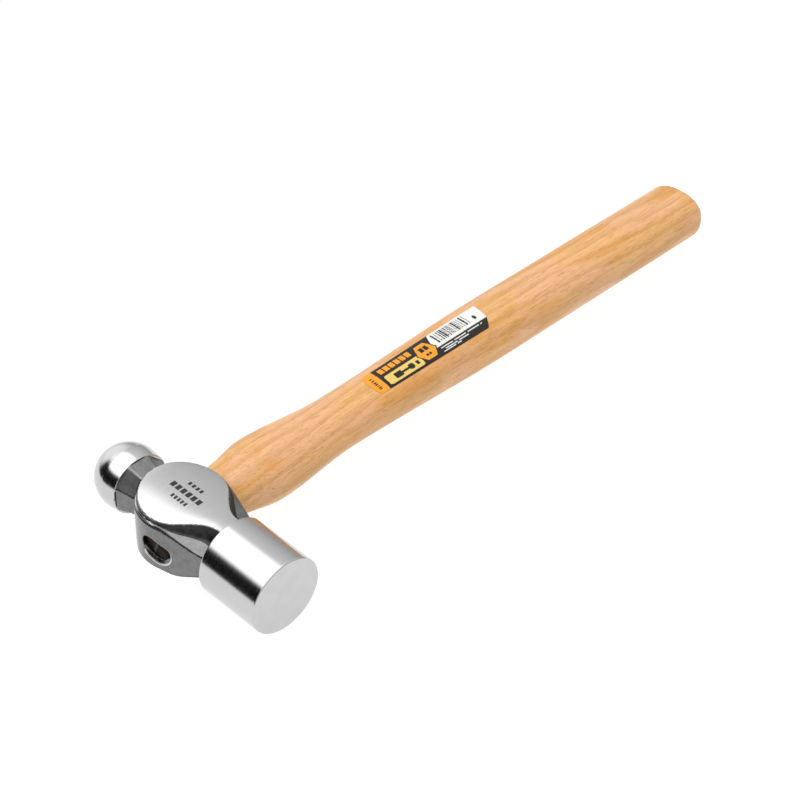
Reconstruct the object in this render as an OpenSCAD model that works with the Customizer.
// Ball peen hammer, lying on its cheek.
// X runs along the head from the ball to the striking face, Y runs from the head to the butt of the
// handle, and Z is up. The origin is below the middle of the whole hammer, at its lowest level.

/* [Striking face] */
// Diameter of the face cylinder
face_d = 39.6; // [36:0.2:44]
// Length of the face cylinder
face_len = 36; // [30:1:40]
// Distance from the handle axis to the striking face
face_reach = 70; // [66:1:76]

/* [Ball] */
// Diameter of the ball
ball_d = 33.2; // [30:0.2:36]
// Distance from the handle axis to the ball centre
ball_reach = 38.8; // [35:0.2:42]
// Diameter of the turned collar behind the ball
collar_d = 31.4; // [30:0.2:32]
// How far past the centre of the ball the collar ends, and the eight-sided neck starts
collar_end = 7.8; // [6:0.2:12]
// Width across the flats of the neck at the collar
neck_wide = 28.8; // [26:0.2:29]
// Width across the flats of the neck at the eye boss
neck_flats = 24.2; // [22:0.2:26]

/* [Eye boss] */
// Diameter of the round boss around the eye, seen from the cheek
boss_d = 45.2; // [42:0.2:48]
// How far the boss sits off the handle axis, towards the face
boss_shift = 2; // [0:0.5:3]
// How far the eye sits off the handle axis, towards the face
eye_shift = 4; // [0:0.5:6]
// Thickness of the head over its two cheeks
cheek_t = 32; // [30:0.2:34]
// Length of the oval eye, along the head
eye_len = 18; // [16:0.5:22]
// Width of the oval eye, across the cheeks
eye_w = 11; // [10:0.5:13]

/* [Handle] */
// Distance from the head axis to the butt end of the handle
handle_reach = 362; // [330:1:390]
// Width at the shoulder, where the handle leaves the head
shoulder_w = 28.2; // [27:0.2:33]
// Width of the swell just behind the head
swell_w = 36.2; // [34:0.2:42]
// Width of the waist
waist_w = 29.6; // [28:0.2:35]
// Width of the grip
grip_w = 34.6; // [32:0.2:40]
// Thickness of the handle as a share of its width
flatness = 0.78; // [0.7:0.01:0.9]

/* [Wedges] */
// Thickness of the wooden wedge at its head
wood_wedge_t = 2.6; // [2:0.1:4]
// Thickness of the steel wedge at its head
steel_wedge_t = 2.2; // [1.6:0.1:3]

/* [Label] */
// Length of the sticker along the handle
label_len = 77; // [63:7:91]

/* [Hidden] */
$fn = 96;

face_r = face_d / 2;
ball_r = ball_d / 2;
boss_r = boss_d / 2;
cheek_z = cheek_t / 2;
head_low = -ball_reach - ball_r;
centre_x = (face_reach + head_low) / 2;
centre_y = (handle_reach - boss_r) / 2;

// Edge breaks on the machined face cylinder
face_bevel = 0.8;
rim_bevel = 1.2;

// Length over which the neck tapers
neck_taper = 10.4;

// The boss wall is upright over this height, then slopes in to the cheeks
boss_wall_z = 12;
cheek_r = boss_r - 2.6;

// The tapered tail between the boss and the face cylinder
face_back = face_reach - face_len;
tail_start = 2;
tail_start_y = boss_r - 1.6;
tail_y = 15.6;
tail_cheek_y = 6.8;
tail_cheek_z = 15.4;
tail_wall_z = 7.4;

// The handle end stops short of the top of the eye
eye_recess = 4;
tenon_top = -boss_r + eye_recess;

// Handle sections: distance from the head axis, then full width
swell_at = 48;
waist_at = 97;
grip_at = 205;
handle_keys = [
    [0, shoulder_w - 2],
    [boss_r, shoulder_w],
    [swell_at, swell_w],
    [waist_at, waist_w],
    [grip_at, grip_w],
    [handle_reach, grip_w],
];
butt_round = 8;
butt_start = handle_reach - butt_round;
section_power = 2 / 2.35;
sides = 36;
ring_step = 7;
ring_first = 15;

// Wedges
kerf_depth = 30;
wood_wedge_len = 15.6;
wood_tip_t = 0.6;
steel_wedge_depth = 14;
steel_tip_t = 0.4;

// Sticker: its first ring, its thickness, and the first and last side of the section that it covers
label_first = 15;
label_t = 0.2;
label_from = 6;
label_to = 11;

// Smooth step from 0 to 1
function ease(t) = t * t * (3 - 2 * t);

// Width of the handle at a distance y from the head axis
function key_before(y) = max([for (i = [0:len(handle_keys) - 2]) if (handle_keys[i][0] <= y) i]);
function width_at(y) =
    let (i = key_before(y), a = handle_keys[i], b = handle_keys[i + 1])
    a[1] + (b[1] - a[1]) * ease(min(1, (y - a[0]) / (b[0] - a[0])));

// How much the end of the butt is drawn in at y
function butt_inset(y) =
    let (past = max(0, y - butt_start))
    butt_round - sqrt(max(0, butt_round * butt_round - past * past));

function signed_power(v, p) = sign(v) * pow(abs(v), p);

// A point on the handle's surface, grown outwards by g
function handle_point(y, turn, g = 0) =
    let (
        half = width_at(y) / 2 - butt_inset(y) + g,
        thick = width_at(y) / 2 * flatness - butt_inset(y) + g
    )
    [half * signed_power(cos(turn), section_power), y, thick * signed_power(sin(turn), section_power)];

// Distances of the rings, close together on the rounded butt
body_rings = [for (y = [ring_first:ring_step:butt_start - 2]) y];
butt_rings = [for (a = [0:15:90]) butt_start + butt_round * sin(a)];
rings = concat(body_rings, butt_rings);

// A closed solid through rows of points, each row with n points
module skin(rows, n) {
    count = len(rows);
    points = [for (row = rows) for (p = row) p];
    walls = [
        for (r = [0:count - 2]) for (i = [0:n - 1])
            let (a = r * n + i, b = r * n + (i + 1) % n)
                for (f = [[a, b, b + n], [a, b + n, a + n]]) f
    ];
    first = [[for (i = [0:n - 1]) n - 1 - i]];
    last = [[for (i = [0:n - 1]) (count - 1) * n + i]];
    polyhedron(points, concat(walls, first, last), convexity = 4);
}

// Moves a shape drawn about the crossing of the head and handle axes into the hammer's frame
module place() {
    translate([-centre_x, -centre_y, face_r]) children();
}

// An oval with straight sides, drawn along Y from y0 to y1
module oval_bar(length, width, y0, y1) {
    translate([eye_shift, y1, 0]) rotate([90, 0, 0])
        linear_extrude(y1 - y0) {
            square([length - width, width], center = true);
            for (side = [-1, 1]) translate([side * (length - width) / 2, 0]) circle(d = width);
        }
}

module face_cylinder() {
    rotate([90, 0, 90])
        rotate_extrude()
            polygon([
                [0, face_back],
                [face_r - rim_bevel, face_back],
                [face_r, face_back + rim_bevel],
                [face_r, face_reach - face_bevel],
                [face_r - face_bevel, face_reach],
                [0, face_reach],
            ]);
}

module ball() {
    translate([-ball_reach, 0, 0]) rotate([0, 90, 0])
        rotate_extrude() {
            intersection() {
                circle(r = ball_r);
                translate([0, -ball_r]) square([ball_r, 2 * ball_r]);
            }
            square([collar_d / 2, collar_end]);
        }
}

// The neck starts a little inside the collar, and tapers towards the boss
module neck() {
    corner = 1 / cos(22.5);
    translate([-ball_reach, 0, 0]) rotate([0, 90, 0]) rotate([0, 0, 22.5]) {
        cylinder(d = neck_flats * corner, h = ball_reach, $fn = 8);
        translate([0, 0, collar_end - 0.5])
            cylinder(d1 = neck_wide * corner, d2 = neck_flats * corner, h = neck_taper, $fn = 8);
    }
}

module boss() {
    translate([boss_shift, 0, 0])
        rotate_extrude()
            polygon([
                [0, -cheek_z],
                [cheek_r, -cheek_z],
                [boss_r, -boss_wall_z],
                [boss_r, boss_wall_z],
                [cheek_r, cheek_z],
                [0, cheek_z],
            ]);
}

// An eight-sided plate across the head at x
module tail_plate(x, y_half, z_half, y_flat, z_flat) {
    translate([x, 0, 0]) rotate([90, 0, 90])
        linear_extrude(0.5)
            polygon([
                [y_flat, -z_half], [y_half, -z_flat], [y_half, z_flat], [y_flat, z_half],
                [-y_flat, z_half], [-y_half, z_flat], [-y_half, -z_flat], [-y_flat, -z_half],
            ]);
}

module tail() {
    hull() {
        tail_plate(tail_start, tail_start_y, tail_cheek_z, cheek_r - 3, boss_wall_z - 1);
        tail_plate(face_back, tail_y, tail_cheek_z, tail_cheek_y, tail_wall_z);
    }
}

module head() {
    color("silver") place() difference() {
        union() {
            face_cylinder();
            ball();
            neck();
            boss();
            tail();
        }
        oval_bar(eye_len, eye_w, -boss_r - 1, boss_r + 1);
    }
}

// The two wedges point down the eye from the end of the handle. A cutter reaches past that end by over.
module wooden_wedge_body(over = 0) {
    translate([eye_shift - wood_wedge_len / 2, tenon_top, 0]) rotate([90, 0, 90])
        linear_extrude(wood_wedge_len)
            polygon([
                [-over, -wood_wedge_t / 2], [0, -wood_wedge_t / 2], [kerf_depth, -wood_tip_t / 2],
                [kerf_depth, wood_tip_t / 2], [0, wood_wedge_t / 2], [-over, wood_wedge_t / 2],
            ]);
}

module steel_wedge_body(over = 0) {
    wide = eye_w - 3;
    translate([eye_shift, tenon_top, -wide / 2])
        linear_extrude(wide)
            polygon([
                [-steel_wedge_t / 2, -over], [steel_wedge_t / 2, -over], [steel_wedge_t / 2, 0],
                [steel_tip_t / 2, steel_wedge_depth], [-steel_tip_t / 2, steel_wedge_depth],
                [-steel_wedge_t / 2, 0],
            ]);
}

module handle() {
    color("burlywood") place() difference() {
        union() {
            difference() {
                skin([for (y = rings) [for (i = [0:sides - 1]) handle_point(y, i * 360 / sides)]], sides);
                translate([boss_shift, 0, 0]) cylinder(r = boss_r, h = face_d, center = true);
            }
            oval_bar(eye_len, eye_w, tenon_top, boss_r + 4);
        }
        wooden_wedge_body(over = 1);
        steel_wedge_body(over = 1);
    }
}

module wooden_wedge() {
    color("tan") place() difference() {
        wooden_wedge_body();
        steel_wedge_body(over = 1);
    }
}

module steel_wedge() {
    color("dimgray") place() steel_wedge_body();
}

// The sticker follows the same rings and sides as the handle, so it lies flat on it
module label() {
    count = round(label_len / ring_step);
    rows = [for (r = [label_first:label_first + count]) ring_first + r * ring_step];
    around = [for (i = [label_from:label_to]) i * 360 / sides];
    color("gold") place()
        skin([
            for (y = rows)
                concat(
                    [for (a = around) handle_point(y, a, label_t)],
                    [for (i = [len(around) - 1:-1:0]) handle_point(y, around[i])]
                )
        ], 2 * len(around));
}

head();
handle();
wooden_wedge();
steel_wedge();
label();
